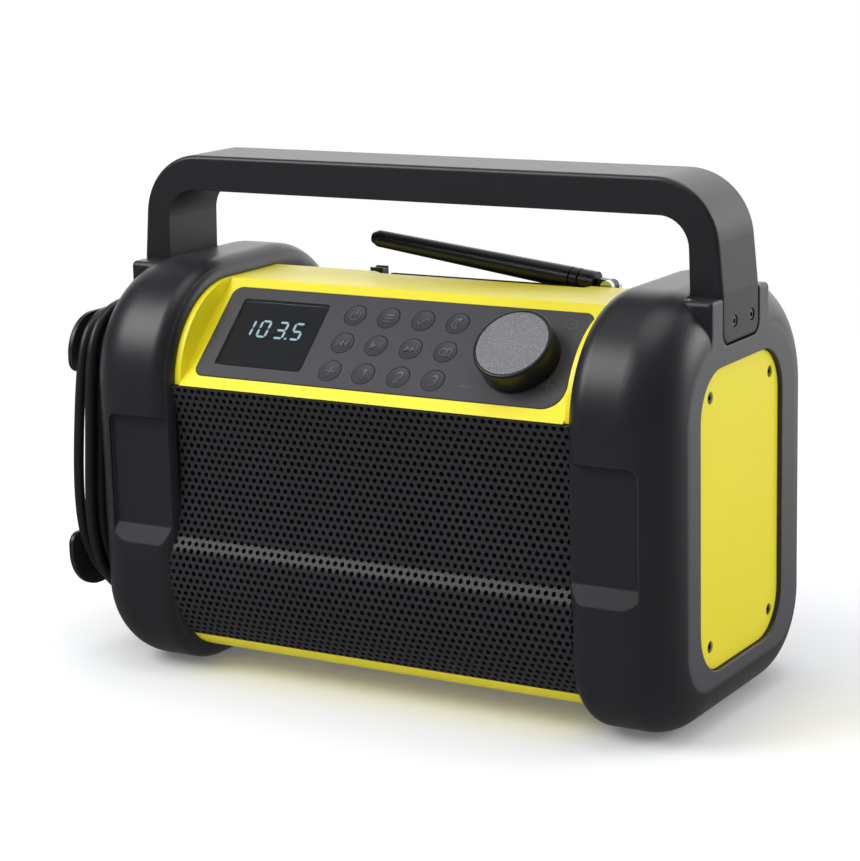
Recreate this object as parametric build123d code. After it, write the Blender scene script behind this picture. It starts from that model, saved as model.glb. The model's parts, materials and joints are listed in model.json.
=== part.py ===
from build123d import *
import math
import os

# A jobsite radio: a yellow case between two round-cornered impact guards, with a carrying
# handle, a sloping control panel, a speaker grille, a folding antenna and a mains lead wound
# on the left end. Millimetres. X runs along the radio, its front faces -Y and Z is up. Sizes
# are from the middle of the end faces at floor level; the solids are moved by shift_x at the
# end, so that the origin lies below the middle of the whole radio.

# Guards
end_x = 150.5            # half the width over the guards' end faces
wall_x = 102.0           # inner wall of a guard
guard_half_depth = 77.5
guard_height = 191.0
guard_top_radius = 54.0
guard_bottom_radius = 42.0
end_rounding = 23.0
inner_rounding = 9.0
lip_width = 2.0          # from a guard's inner wall to the moulding line on its rounding
lip_line = 0.3           # that line's width
guard_wall = 3.0
cavity_end_x = 143.5
fit_gap = 0.2            # between pieces that are fixed together

# Case
case_inset = 8.5         # from the guards' outline to the case's
case_top_radius = 45.5
case_bottom_radius = 30.0
case_end_x = 130.0
case_wall = 2.5
split_y = 17.0           # where the rear cover meets the front housing
seal_thickness = 1.2
shelf_z = 175.5          # antenna shelf behind the crest
baffle_y = -58.0
baffle_thickness = 3.0
grille_bottom_z = 20.0
grille_top_z = 139.5

# Control panel: its plane starts at the lower edge and rises to the rear
panel_y = -65.9
panel_z = 144.3
panel_slope = 43.34
panel_half_width = 94.2
panel_height = 51.0
panel_thickness = 2.4
facet_half_width = 99.0
facet_drop = 0.4         # the yellow facet lies this far below the panel's face
facet_wall_depth = 5.0
display_x = (-85.5, -38.5)
display_s = (6.7, 44.5)
display_corner = 1.6
key_columns = (-23.3, -5.8, 12.2, 29.9)
key_rows = (39.9, 24.4, 8.9)
key_names = (
    ("key_power", "key_mode", "key_bass", "key_snooze"),
    ("key_previous", "key_play", "key_next", "key_stereo"),
    ("key_preset", "key_1", "key_2", "key_3"),
)
key_diameter = 11.0
key_gap = 0.2
key_top = 0.2            # a key's rim above the panel's face
key_dish = 0.6           # depth of its hollowed top
knob_x = 68.0
knob_s = 23.8
knob_radius = 18.1
knob_height = 12.0
shaft_radius = 3.0
board_depth = 7.2        # from the panel's face down to the control board

# Handle
handle_y = (-23.2, 15.2)
tab_bottom_z = 167.8
neck_z = 190.0           # where the handle's legs come out of the guards
bar_top_z = 238.6
bar_bottom_z = 222.3
bar_end_x = 145.8
leg_inner_x = 134.6
leg_neck_x = 135.4
handle_outer_radius = 30.0
handle_inner_radius = 14.0
cover_depth = 1.5
cover_margin = 2.5
handle_screw_y = (-10.6, 7.2)
handle_screw_z = 177.0
handle_screw_length = 17.5
neck_y = (-34.0, 26.0)   # the block that a leg is let into
neck_top_z = 188.5
neck_flare = 14.0        # radius of its concave foot on the end face

# End panels
end_panel_y = (-45.0, 40.8)
end_panel_z = (26.8, 159.3)
end_panel_radius = 21.0
end_panel_recess = 2.0
end_panel_thickness = 2.5
end_screw_y = (-31.4, 31.4)
end_screw_z = (38.2, 147.4)
guard_post_y = (-20.0, 34.0)
guard_post_z = (56.0, 130.0)

# Antenna
antenna_pivot = (74.5, 24.0, 181.9)
antenna_rise = 7.0       # degrees above level as it is stowed
whip_length = 126.0
whip_base_radius = 5.25
whip_tip_radius = 4.0
clip_x = (-50.0, -46.0)
clip_half_depth = 3.5
clip_top_z = 183.5
clip_notch = (187.2, 4.7)  # height and radius of the hollow that the lowered whip lies in
crest_dip_x = (-38.0, 60.0)  # where the crest is cut down before the whip
seal_lip_z = 182.1       # the seal stands up behind that dip

# Speakers
speaker_x = 52.0
speaker_z = 82.0
speaker_radius = 39.0

# Cord hooks, winding and mains lead, on the left end
hook_flange_x = 169.5
hook_end_x = 172.5
upper_post = (46.5, 139.0, 160.4)     # half depth, lowest and highest
upper_flange = (58.7, 137.0, 164.3)
lower_post = (48.5, 37.0, 57.5)
lower_flange = (66.0, 31.3, 60.0)
cord_diameter = 5.0
winding_x = (-168.6, -151.8)
gland_x = -154.2
plug_x = -163.2
plug_y = 42.5
plug_low_z = 73.0        # where the cord goes into the plug's strain relief
gland_z = 122.0

shift_x = (hook_end_x - end_x) / 2


def block(x0, x1, y0, y1, z0, z1):
    """A box between two corners."""
    return Pos((x0 + x1) / 2, (y0 + y1) / 2, (z0 + z1) / 2) * Box(x1 - x0, y1 - y0, z1 - z0)


def along_x(sketch, x0, x1):
    """A (y, z) outline carried from x0 to x1."""
    return extrude(Plane.YZ.offset(x0) * sketch, amount=x1 - x0, dir=(1, 0, 0))


def along_y(sketch, y0, y1):
    """An (x, z) outline carried from y0 to y1."""
    return extrude(Plane.XZ.offset(-y0) * sketch, amount=y1 - y0, dir=(0, 1, 0))


def rod(start, end, radius):
    """A round bar between two points."""
    line = Vector(*end) - Vector(*start)
    place = Plane(origin=start, z_dir=line)
    return place * Pos(0, 0, line.length / 2) * Cylinder(radius, line.length)


def cone_rod(start, end, radius, end_radius):
    """A tapered round bar between two points."""
    line = Vector(*end) - Vector(*start)
    place = Plane(origin=start, z_dir=line)
    return place * Pos(0, 0, line.length / 2) * Cone(radius, end_radius, line.length)


def round_corners(outline, radius, wanted):
    """Rounds the corners of a flat outline for which wanted is true."""
    return fillet([v for v in outline.vertices() if wanted(v)], radius)


def case_outline(inset, top_radius, bottom_radius):
    """The end view shared by the guards and the case, moved in by inset."""
    half = guard_half_depth - inset
    outline = Pos(0, guard_height / 2) * Rectangle(2 * half, guard_height - 2 * inset)
    middle = guard_height / 2
    outline = round_corners(outline, top_radius, lambda v: v.Y > middle)
    return round_corners(outline, bottom_radius, lambda v: v.Y < inset + 1)


def screw(place, length, head_radius=2.6, head_height=1.8, shank_radius=1.5):
    """A round-headed screw; the top of its head is at the origin of place, facing along its Z."""
    head = Pos(0, 0, -head_height / 2) * Cylinder(head_radius, head_height)
    head = fillet(head.edges().group_by(Axis.Z)[-1], 0.6)
    shank = Pos(0, 0, -head_height - length / 2) * Cylinder(shank_radius, length)
    socket = Pos(0, 0, -0.5) * Cylinder(1.1, 1.0)
    return place * (head + shank - socket)


def screw_hole(place, length, head_radius=2.6, head_height=1.8, shank_radius=1.5, above=3.0):
    """The room that a screw needs, open above its head."""
    head = Pos(0, 0, (above - head_height - 0.05) / 2)
    head = head * Cylinder(head_radius + 0.15, above + head_height + 0.05)
    shank = Pos(0, 0, -head_height - length / 2) * Cylinder(shank_radius + 0.05, length + 0.4)
    return place * (head + shank)


def ends(shape):
    """A piece made for the right end, and its mirror image for the left end."""
    return shape, mirror(shape, about=Plane.YZ)


panel_plane = Plane(
    origin=(0, panel_y, panel_z),
    x_dir=(1, 0, 0),
    z_dir=(0, -math.sin(math.radians(panel_slope)), math.cos(math.radians(panel_slope))),
)


# ---- guards, end panels and their screws

def end_places(ys, zs, x):
    """Planes facing outwards on the right end."""
    return [Plane(origin=(x, y, z), x_dir=(0, 1, 0), z_dir=(1, 0, 0)) for y in ys for z in zs]


end_panel_face_x = end_x - end_panel_recess
end_panel_floor_x = end_panel_face_x - end_panel_thickness
end_screw_places = end_places(end_screw_y, end_screw_z, end_panel_face_x - 0.4)
guard_screw_places = end_places(guard_post_y, guard_post_z, end_panel_floor_x)
handle_screw_places = end_places(handle_screw_y, (handle_screw_z,), end_x - 0.4)
end_screw_length = 6.0
guard_screw_length = 16.0
guard_head_height = 2.0


def guard_outer():
    """A guard's outside, before it is hollowed."""
    outline = case_outline(0, guard_top_radius, guard_bottom_radius)
    shape = along_x(outline, wall_x, end_x)
    shape = fillet(shape.faces().sort_by(Axis.X)[-1].edges(), end_rounding)
    return fillet(shape.faces().sort_by(Axis.X)[0].edges(), inner_rounding)


def finger_recess():
    """A shallow pocket in the front of a guard, with a sloping lower end."""
    top, bottom, outer = 125.0, 63.5, 136.0
    face, floor = -guard_half_depth - 1, -guard_half_depth + 3.6
    side = Polygon((face, top), (floor, top), (floor, bottom + 9), (face, bottom - 2), align=None)
    pocket = along_x(side, wall_x - 6, outer)
    corners = pocket.edges().filter_by(Axis.Y).sort_by(Axis.X)[-1:]
    return fillet(corners, 5)


def neck_foot(side_y):
    """Three points of the concave arc from a neck's upright side to the end face's round corner."""
    sign = 1 if side_y > 0 else -1
    corner_y = guard_half_depth - guard_top_radius
    corner_z = guard_height - guard_top_radius
    face_radius = guard_top_radius - end_rounding
    reach = face_radius + neck_flare
    across = abs(side_y) + neck_flare - corner_y
    rise = math.sqrt(reach ** 2 - across ** 2)
    share = face_radius / reach
    centre = Vector(sign * (corner_y + across), corner_z + rise)
    upper = Vector(side_y, corner_z + rise)
    lower = Vector(sign * (corner_y + across * share), corner_z + rise * share)
    middle = centre + ((upper + lower) / 2 - centre).normalized() * neck_flare
    return upper, middle, lower


def neck():
    """The block on a guard's shoulder that the handle's leg is let into."""
    front_y, rear_y = neck_y
    low_z = 156.0
    front_upper, front_middle, front_lower = neck_foot(front_y)
    rear_upper, rear_middle, rear_lower = neck_foot(rear_y)
    top = Polyline(front_upper, (front_y, neck_top_z), (rear_y, neck_top_z), rear_upper)
    foot = Polyline(rear_lower, (rear_lower.X, low_z), (front_lower.X, low_z), front_lower)
    side = make_face(
        top + ThreePointArc(rear_upper, rear_middle, rear_lower) + foot
        + ThreePointArc(front_lower, front_middle, front_upper)
    )
    body = along_x(side, case_end_x + 1.5, end_x)
    body = fillet(body.edges().filter_by(Axis.X).group_by(Axis.Z)[-1], 2.5)
    face_edges = body.faces().sort_by(Axis.X)[-1].edges()
    return fillet([e for e in face_edges if e.center().Z > front_lower.Y], 1.5)


def lip_groove():
    """A fine moulding line round a guard, on its inner rounding."""
    from_centre = inner_rounding - lip_width
    drop = inner_rounding - math.sqrt(inner_rounding ** 2 - from_centre ** 2)
    depth = drop + lip_line
    ring = case_outline(-1, guard_top_radius + 1, guard_bottom_radius + 1)
    ring -= case_outline(depth, guard_top_radius - depth, guard_bottom_radius - depth)
    return along_x(ring, wall_x + lip_width - lip_line / 2, wall_x + lip_width + lip_line / 2)


def make_guard():
    """The right guard: a cup over the end of the case."""
    outer = guard_outer()
    inset = guard_wall
    outline = case_outline(inset, guard_top_radius - inset, guard_bottom_radius - inset)
    cavity = along_x(outline, wall_x + guard_wall, cavity_end_x)
    cavity = fillet(cavity.faces().sort_by(Axis.X)[-1].edges(), 16)
    pad_back = guard_half_depth - guard_wall - 4.4
    for side in (-1, 1):
        near, far = sorted((side * pad_back, side * guard_half_depth))
        cavity -= block(wall_x, 140, near, far, 59, 129)
    body = outer - cavity + neck()
    opening = case_outline(case_inset - fit_gap, case_top_radius, case_bottom_radius)
    opening -= Pos(split_y + 50, shelf_z + 50 + fit_gap) * Rectangle(100, 100)
    body -= along_x(opening, wall_x - 1, case_end_x + 0.8)
    recess = finger_recess()
    body -= recess
    body -= mirror(recess, about=Plane.XZ)
    body -= lip_groove()
    pocket = end_panel_outline(fit_gap)
    body -= along_x(pocket, end_panel_floor_x, end_x + 1)
    body -= handle_socket()
    for place in end_screw_places:
        boss = rod((end_panel_floor_x - 8, place.origin.Y, place.origin.Z),
                   (end_panel_floor_x, place.origin.Y, place.origin.Z), 4)
        body += boss & outer
    for place in end_screw_places:
        body -= screw_hole(place, end_screw_length)
    for place in guard_screw_places:
        body -= screw_hole(place, guard_screw_length, 3.2, guard_head_height, 1.75)
    for place in handle_screw_places:
        body -= screw_hole(place, handle_screw_length)
    return body


def end_panel_outline(gap):
    """The yellow end panel's outline, made larger by gap."""
    front, back = end_panel_y
    low, high = end_panel_z
    shape = RectangleRounded(back - front + 2 * gap, high - low + 2 * gap, end_panel_radius + gap)
    return Pos((front + back) / 2, (low + high) / 2) * shape


def make_end_panel():
    """The right end panel."""
    panel = along_x(end_panel_outline(0), end_panel_floor_x, end_panel_face_x)
    panel = fillet(panel.faces().sort_by(Axis.X)[-1].edges(), 0.6)
    for place in end_screw_places:
        panel -= screw_hole(place, end_screw_length, 2.6)
    for place in guard_screw_places:
        panel -= place * Cylinder(3.6, 4.4)
    return panel


# ---- handle

def handle_outline(inset):
    """The handle's U as an (x, z) outline, with its outer side moved in by inset."""
    half = [
        (end_x - inset, tab_bottom_z), (end_x - 0.1 - inset, neck_z),
        (bar_end_x - inset, bar_top_z - inset),
    ]
    inner = [(leg_inner_x, bar_bottom_z), (leg_neck_x, neck_z + 1), (leg_neck_x, tab_bottom_z)]
    left_outer = [(-x, z) for x, z in reversed(half)]
    left_inner = [(-x, z) for x, z in reversed(inner)]
    shape = Polygon(*half, *left_outer, *left_inner, *inner, align=None)
    top_radius = handle_outer_radius - inset
    shape = round_corners(shape, top_radius, lambda v: v.Y > bar_top_z - inset - 1)
    return round_corners(
        shape, handle_inner_radius, lambda v: abs(v.Y - bar_bottom_z) < 0.1 and abs(v.X) > 100
    )


def handle_socket():
    """The pocket in the guard that the handle's leg goes into."""
    front, back = handle_y
    width = back - front + 2 * fit_gap
    shape = Pos((front + back) / 2, tab_bottom_z + 20) * RectangleRounded(width, 40.4, 6.2)
    return along_x(shape, leg_neck_x - fit_gap, end_x + 1)


def handle_cover_shape():
    """The strip laid into the handle's outer face, from tab to tab."""
    front, back = handle_y
    band = handle_outline(0) - handle_outline(cover_depth)
    strip = along_y(band, front + cover_margin, back - cover_margin)
    low = tab_bottom_z + cover_margin
    strip -= block(-200, 200, -50, 50, low - 20, low)
    corners = [e for e in strip.edges().filter_by(Axis.X) if e.center().Z < low + 0.1]
    return fillet(corners, 4)


def make_handle_frame():
    """The handle's U-shaped body."""
    frame = along_y(handle_outline(0), *handle_y)
    tips = [e for e in frame.edges().filter_by(Axis.X) if e.center().Z < tab_bottom_z + 0.1]
    frame = fillet(tips, 6)
    faces = frame.faces().filter_by(Axis.Y)
    outer_edges = []
    for face in faces:
        for edge in face.edges():
            middle = edge.position_at(0.5)
            if middle.Z > neck_z and (middle.Z > bar_top_z - 1 or abs(middle.X) > 141):
                outer_edges.append(edge)
    return fillet(outer_edges, 2.0)


# ---- case

def case_solid(inset):
    """The whole case as one solid, moved in by inset on every side."""
    outline = case_outline(case_inset + inset, case_top_radius - inset, case_bottom_radius - inset)
    return along_x(outline, -case_end_x + inset, case_end_x - inset)


def case_cavity():
    """The inside of the case, behind the baffle and below the control facet."""
    cavity = case_solid(case_wall)
    slab = block(-facet_half_width - case_wall, facet_half_width + case_wall,
                 -30, 90, -facet_wall_depth, 60)
    cavity -= panel_plane * slab
    baffle_back = baffle_y + baffle_thickness
    grille_room = block(-wall_x - case_wall, wall_x + case_wall, -90, baffle_back,
                        grille_bottom_z - 3, grille_top_z + 1.2)
    cavity -= grille_room
    shelf = shelf_z - case_wall
    return cavity - block(-case_end_x, case_end_x, split_y - 8, 80, shelf, 200)


def panel_opening():
    """The opening through the facet below the control panel."""
    return block(-88, 88, 2.4, 47.0, -facet_wall_depth - 1, 1)


def housing_boss_places():
    """Where the rear cover's screws go, as (x, z), close to the end walls."""
    return [(x, z) for x in (-123.2, 123.2) for z in (30.0, 160.0)]


def guard_posts(front):
    """Posts on the case's ends that the guards are screwed to."""
    y = guard_post_y[0] if front else guard_post_y[1]
    posts = []
    for z in guard_post_z:
        post = rod((case_end_x - 1, y, z), (cavity_end_x - 0.1, y, z), 5)
        hole = rod((case_end_x - 4, y, z), (cavity_end_x + 1, y, z), 1.8)
        for post_side, hole_side in zip(ends(post), ends(hole)):
            posts.append((post_side, hole_side))
    return posts


def make_front_housing():
    """The yellow shell with the brow, the control facet and the speaker baffle."""
    body = case_solid(0)
    body += block(-facet_half_width, facet_half_width, -70.8, -60, grille_top_z, 150)
    body -= block(-200, 200, split_y, 100, -10, 300)
    body -= case_cavity()
    body -= block(-wall_x, wall_x, -90, baffle_y, grille_bottom_z, grille_top_z)
    above = block(-facet_half_width, facet_half_width, -30, 90, -facet_drop, 60)
    body -= panel_plane * above
    pocket = panel_outline(fit_gap)
    body -= panel_plane * extrude(Pos(0, 0, -panel_thickness) * pocket, amount=5)
    body -= panel_plane * panel_opening()
    (left, right), slant = crest_dip_x, 14
    dip = Polygon((left - slant, 184), (left, 180.4), (right, 180.4), (right + slant, 184), align=None)
    body -= along_y(dip, split_y - 5, split_y + 1)
    for x in (-speaker_x, speaker_x):
        body -= Pos(x, baffle_y, speaker_z) * Rot(90, 0, 0) * Cylinder(34, 20)
        for place in speaker_screw_places(x):
            body -= screw_hole(place, 5, 2.4, 1.4, 1.4)
    for x, z in housing_boss_places():
        body += rod((x, -40, z), (x, split_y, z), 4.5) & case_solid(1)
        body -= rod((x, split_y - 14, z), (x, split_y + 1, z), 1.8)
    for post, hole in guard_posts(True):
        body += post
        body -= hole
    for x in (-95.5, 95.5):
        for s in (12.0, 42.0):
            boss = Pos(x, s, -(facet_wall_depth + board_depth) / 2)
            body += panel_plane * boss * Cylinder(2.6, board_depth - facet_wall_depth)
    return body


def make_rear_cover():
    """The dark rear half of the case, with the antenna shelf and the battery bay."""
    start = split_y + seal_thickness
    body = case_solid(0)
    body -= block(-200, 200, -100, start, -10, 300)
    body -= block(-200, 200, 0, 100, shelf_z, 300)
    body -= case_cavity()
    door_x, door_low, door_high = 104.0, 34.0, 116.0
    back = guard_half_depth - case_inset
    body -= block(-door_x, door_x, back - 2.0, back + 1, door_low, door_high)
    body += block(-door_x - 2.5, door_x + 2.5, back - 5, back - 2, door_low - 3, door_high + 3)
    inner_x, inner_low, inner_high = door_x - 5, door_low + 4, door_high - 4
    body -= block(-inner_x, inner_x, back - 6, back - 1.9, inner_low, inner_high)
    for x, z in housing_boss_places():
        place = Plane(origin=(x, rear_screw_y(z), z), x_dir=(1, 0, 0), z_dir=(0, 1, 0))
        body += rod((x, start, z), (x, rear_screw_y(z) - 1, z), 5) & case_solid(1)
        body -= screw_hole(place, rear_screw_length(z), 3.0, 2.2, 1.8, above=40)
    for x in door_screw_x:
        place = door_screw_place(x)
        body -= screw_hole(place, 3, 2.6, 1.6, 1.5)
    for post, hole in guard_posts(False):
        body += post
        body -= hole
    x, y, _ = antenna_pivot
    body += rod((x, y, shelf_z - 6), (x, y, shelf_z - 1), 5.7)
    body -= rod((x, y, shelf_z - 7), (x, y, shelf_z + 1), 4.2)
    for x in clip_x:
        body -= block(x - 1.7, x + 1.7, 20, 28, shelf_z - 4, shelf_z + 1) & clip_feet(0.1)
    return body


def rear_screw_y(z):
    """How far back the head of a rear screw lies: the top corner is rounder."""
    return 44.0 if z > 100 else 54.0


def rear_screw_length(z):
    return rear_screw_y(z) - 2.2 - (split_y - 12)


door_screw_x = (-96.0, 96.0)


def door_screw_place(x):
    back = guard_half_depth - case_inset
    return Plane(origin=(x, back - 0.2, 75.0), x_dir=(1, 0, 0), z_dir=(0, 1, 0))


def make_battery_door():
    back = guard_half_depth - case_inset
    door = block(-103.7, 103.7, back - 1.9, back, 34.3, 115.7)
    door = fillet(door.edges().filter_by(Axis.Y), 6)
    for row in range(7):
        z = 55.0 + 6.5 * row
        door -= block(-40, 40, back - 0.8, back + 1, z, z + 3)
    for x in door_screw_x:
        door -= screw_hole(door_screw_place(x), 3, 2.6, 1.6, 1.5)
    return door


def make_seal():
    """The flat gasket between the front housing and the rear cover, with its lip at the crest."""
    back = split_y + seal_thickness
    section = case_solid(0) & block(-200, 200, split_y, back, 0, shelf_z)
    lip = block(*crest_dip_x, split_y, back, shelf_z - 1, seal_lip_z)
    lip = fillet(lip.edges().filter_by(Axis.Y).group_by(Axis.Z)[-1], 1.5)
    return section - case_cavity() + lip


def speaker_screw_places(x):
    """Four screws through each speaker's frame, from behind."""
    places = []
    for turn in (45, 135, 225, 315):
        dx = 36.4 * math.cos(math.radians(turn))
        dz = 36.4 * math.sin(math.radians(turn))
        origin = (x + dx, baffle_y + baffle_thickness + 3.6, speaker_z + dz)
        places.append(Plane(origin=origin, x_dir=(1, 0, 0), z_dir=(0, 1, 0)))
    return places


# ---- grille and speakers

def grille_profile():
    """The grille's outer face from the brow down, as (y, z): a slope, a step and a curl."""
    upper = [(-70.3, 139.2), (-67.6, 126.5)]
    return Polyline(*upper) + ThreePointArc((-67.6, 126.5), (-66.8, 110), (-70.6, 70.5)) \
        + Polyline((-70.6, 70.5), (-74.0, 59.5)) \
        + ThreePointArc((-74.0, 59.5), (-72.9, 38.0), (-63.0, 20.3))


def make_grille():
    """The grille as a plain curved plate, cut to fit between the guards."""
    thickness = 1.4
    face = grille_profile()
    inner = Pos(thickness, 0) * face
    top = Polyline(face @ 0, inner @ 0)
    bottom = Polyline(face @ 1, inner @ 1)
    plate = along_x(make_face(face + top + inner + bottom), -104.5, 104.5)
    case_end = along_x(case_outline(case_inset, case_top_radius, case_bottom_radius), wall_x, 110)
    for solid in (guard_outer(), case_end):
        for side in ends(solid):
            plate -= side
    return plate


def speaker_pieces(x):
    """Frame, cone and magnet of one speaker, facing forward."""
    front = baffle_y + baffle_thickness
    place = Plane(origin=(x, front, speaker_z), x_dir=(1, 0, 0), z_dir=(0, 1, 0))
    flange = Pos(0, 0, 1.1) * Cylinder(speaker_radius, 2.2)
    basket = Pos(0, 0, 2.2 + 10) * Cone(35, 21, 20)
    hollow = Pos(0, 0, 10.2) * Cone(34, 19.5, 20.6)
    frame = flange + basket - hollow - Pos(0, 0, 21) * Cylinder(12, 12)
    for turn in range(6):
        window = Pos(25, 0, 12) * Box(26, 12, 9)
        frame -= Rot(0, 0, 60 * turn + 30) * window
    for hole in speaker_screw_places(x):
        frame -= place.location.inverse() * screw_hole(hole, 5, 2.4, 1.4, 1.4)
    cone = Pos(0, 0, 8.6) * Cone(32.6, 13, 16) - Pos(0, 0, 7.6) * Cone(32.6, 12, 16)
    cone += Pos(0, 0, 16.1) * Cylinder(13, 1.0)
    magnet = Pos(0, 0, 22.4 + 6) * Cylinder(22, 12) + Pos(0, 0, 18.8) * Cylinder(9.5, 4.0)
    magnet += Pos(0, 0, 21.6) * Cylinder(11.6, 1.6)
    return place * frame, place * cone, place * magnet


# ---- control panel

def panel_outline(gap):
    """The panel's outline, with a rounder corner at the lower right."""
    wide, high = panel_half_width + gap, panel_height / 2 + gap
    shape = Rectangle(2 * wide, 2 * high)
    shape = round_corners(shape, 5 + gap, lambda v: v.X < 0 or v.Y > 0)
    shape = round_corners(shape, 9 + gap, lambda v: v.X > wide - 0.1 and v.Y < -high + 0.1)
    return Pos(0, panel_height / 2) * shape


def key_places():
    """Each key's name and its (x, s) on the panel."""
    places = []
    for s, names in zip(key_rows, key_names):
        for x, name in zip(key_columns, names):
            places.append((name, x, s))
    return places


def make_panel():
    """The black panel, with its openings for the display, the keys and the knob's bush."""
    shape = extrude(Pos(0, 0, -panel_thickness) * panel_outline(0), amount=panel_thickness)
    shape = chamfer(shape.faces().sort_by(Axis.Z)[-1].edges(), 0.3)
    shape -= extrude(Pos(0, 0, -5) * display_outline(0), amount=10)
    for _, x, s in key_places():
        shape -= Pos(x, s, 0) * Cylinder(key_diameter / 2 + key_gap, 10)
    shape -= Pos(knob_x, knob_s, 0) * Cylinder(3.9, 10)
    return panel_plane * shape


def display_outline(inset):
    """The display opening's outline, moved in by inset."""
    (x0, x1), (s0, s1) = display_x, display_s
    shape = RectangleRounded(x1 - x0 - 2 * inset, s1 - s0 - 2 * inset, display_corner - inset)
    return Pos((x0 + x1) / 2, (s0 + s1) / 2) * shape


def make_display_window():
    window = extrude(Pos(0, 0, -1.7) * display_outline(0.15), amount=1.7)
    window = chamfer(window.faces().sort_by(Axis.Z)[-1].edges(), 0.2)
    return panel_plane * window


def make_display_module():
    (x0, x1), _ = display_x, display_s
    base = block(x0 - 1.5, x1 + 1.5, 5.0, 46.0, -board_depth, -2.6)
    face = block(x0 + 0.6, x1 - 0.6, display_s[0] + 0.6, display_s[1] - 0.6, -2.7, -1.9)
    return panel_plane * (base + face)


def make_key(x, s):
    """A key: a round, hollowed cap in the panel's hole and a flange that keeps it in."""
    radius, low = key_diameter / 2, -3.1
    cap = Pos(0, 0, (key_top + low) / 2) * Cylinder(radius, key_top - low)
    cap = fillet(cap.edges().group_by(Axis.Z)[-1], 0.3)
    rim = radius - 0.5
    dish_radius = (rim ** 2 + key_dish ** 2) / (2 * key_dish)
    cap -= Pos(0, 0, key_top - key_dish + dish_radius) * Sphere(dish_radius)
    flange = Pos(0, 0, -3.25) * Cylinder(radius + 0.7, 0.9)
    stem = Pos(0, 0, -3.9) * Cylinder(2.4, 0.6)
    return panel_plane * Pos(x, s, 0) * (cap + flange + stem)


def make_keypad_mat():
    """The silicone mat on the board, with a dome under each key."""
    low, high, dome_top = -board_depth, -5.7, -5.1
    mat = block(-31.5, 38.0, 3.6, 46.0, low, high)
    for _, x, s in key_places():
        mat += Pos(x, s, (high + dome_top) / 2) * Cylinder(2.8, dome_top - high)
    return panel_plane * mat


def make_control_board():
    """The circuit board under the panel, with small components on its lower side."""
    top = -board_depth
    board = block(-98.5, 98.5, 8.5, 45.5, top - 1.6, top)
    for x in (-95.5, 95.5):
        for s in (12.0, 42.0):
            board -= Pos(x, s, top) * Cylinder(1.1, 10)
    board -= Pos(knob_x, knob_s, top) * Cylinder(3.4, 10)
    chips = ((-40, 26, 14, 14, 1.6), (-8, 28, 20, 9, 2.0), (24, 22, 8, 8, 1.4), (44, 34, 10, 6, 3))
    for x, s, wide, high, deep in chips:
        board += block(x, x + wide, s - high / 2, s + high / 2, top - 1.6 - deep, top - 1.6)
    return panel_plane * board


def make_encoder_body():
    """The rotary encoder: a square case on the board and a threaded bush through the panel."""
    case = block(-7, 7, -7, 7, -board_depth, -panel_thickness - 0.1)
    bush = Pos(0, 0, (3.0 - panel_thickness - 0.2) / 2) * Cylinder(3.5, 3.0 + panel_thickness + 0.2)
    nut = Pos(0, 0, 0.1) * extrude(RegularPolygon(5.6, 6), amount=2.0)
    body = case + bush + nut
    body -= Cylinder(shaft_radius + 0.05, 40)
    return panel_plane * Pos(knob_x, knob_s, 0) * body


def make_encoder_shaft():
    """The shaft, with a flat for the knob."""
    low, high = -6.0, knob_height - 2.6
    shaft = Pos(0, 0, (low + high) / 2) * Cylinder(shaft_radius, high - low)
    shaft -= block(1.5, 4, -4, 4, 4.0, 20)
    return panel_plane * Pos(knob_x, knob_s, 0) * shaft


def make_knob():
    """The knob's skirt with its hub; its top is let in for the face disc."""
    low = 0.6
    skirt = Pos(0, 0, (low + knob_height) / 2) * Cylinder(knob_radius, knob_height - low)
    skirt = fillet(skirt.edges().group_by(Axis.Z)[-1], 1.0)
    hollow = Pos(0, 0, (low + 9.0) / 2 - 1) * Cylinder(knob_radius - 2.2, 9.0 - low + 2)
    hub = Pos(0, 0, 6.4) * Cylinder(5.0, 5.6)
    body = skirt - hollow + hub
    body -= Pos(0, 0, knob_height) * Cylinder(knob_radius - 1.5, 1.6)
    bore = Pos(0, 0, 5.0) * Cylinder(shaft_radius + 0.03, 9.0)
    bore -= block(1.53, 4, -4, 4, 4.0, 20)
    return panel_plane * Pos(knob_x, knob_s, 0) * (body - bore)


def make_knob_face():
    disc = Pos(0, 0, knob_height - 0.2) * Cylinder(knob_radius - 1.55, 1.0)
    disc = fillet(disc.edges().group_by(Axis.Z)[-1], 0.4)
    return panel_plane * Pos(knob_x, knob_s, 0) * (Pos(0, 0, -0.1) * disc)


# ---- antenna

def make_antenna_base():
    """The fixed bush in the shelf."""
    x, y, _ = antenna_pivot
    bush = rod((x, y, shelf_z - 8), (x, y, shelf_z), 4.1) + rod((x, y, shelf_z), (x, y, shelf_z + 1), 6)
    bush += rod((x, y, shelf_z - 9.5), (x, y, shelf_z - 7.2), 6)
    return bush - rod((x, y, shelf_z - 12), (x, y, shelf_z + 3), 2.55)


def make_antenna_knuckle():
    """The swivelling fork, its spindle down through the base and the cross pin."""
    x, y, z = antenna_pivot
    floor = shelf_z + 1.05
    spindle = rod((x, y, shelf_z - 11), (x, y, floor + 0.5), 2.5)
    foot = rod((x, y, floor), (x, y, floor + 1.4), 5.2)
    ears = rod((x, y - 5.0, z), (x, y + 5.0, z), 3.0) + block(x - 3, x + 3, y - 5, y + 5, floor + 0.5, z)
    slot = block(x - 8, x + 8, y - 2.3, y + 2.3, floor + 1.4, z + 8)
    pin = rod((x, y - 5.0, z), (x, y + 5.0, z), 1.2)
    return spindle + foot + (ears - slot) + pin


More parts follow.
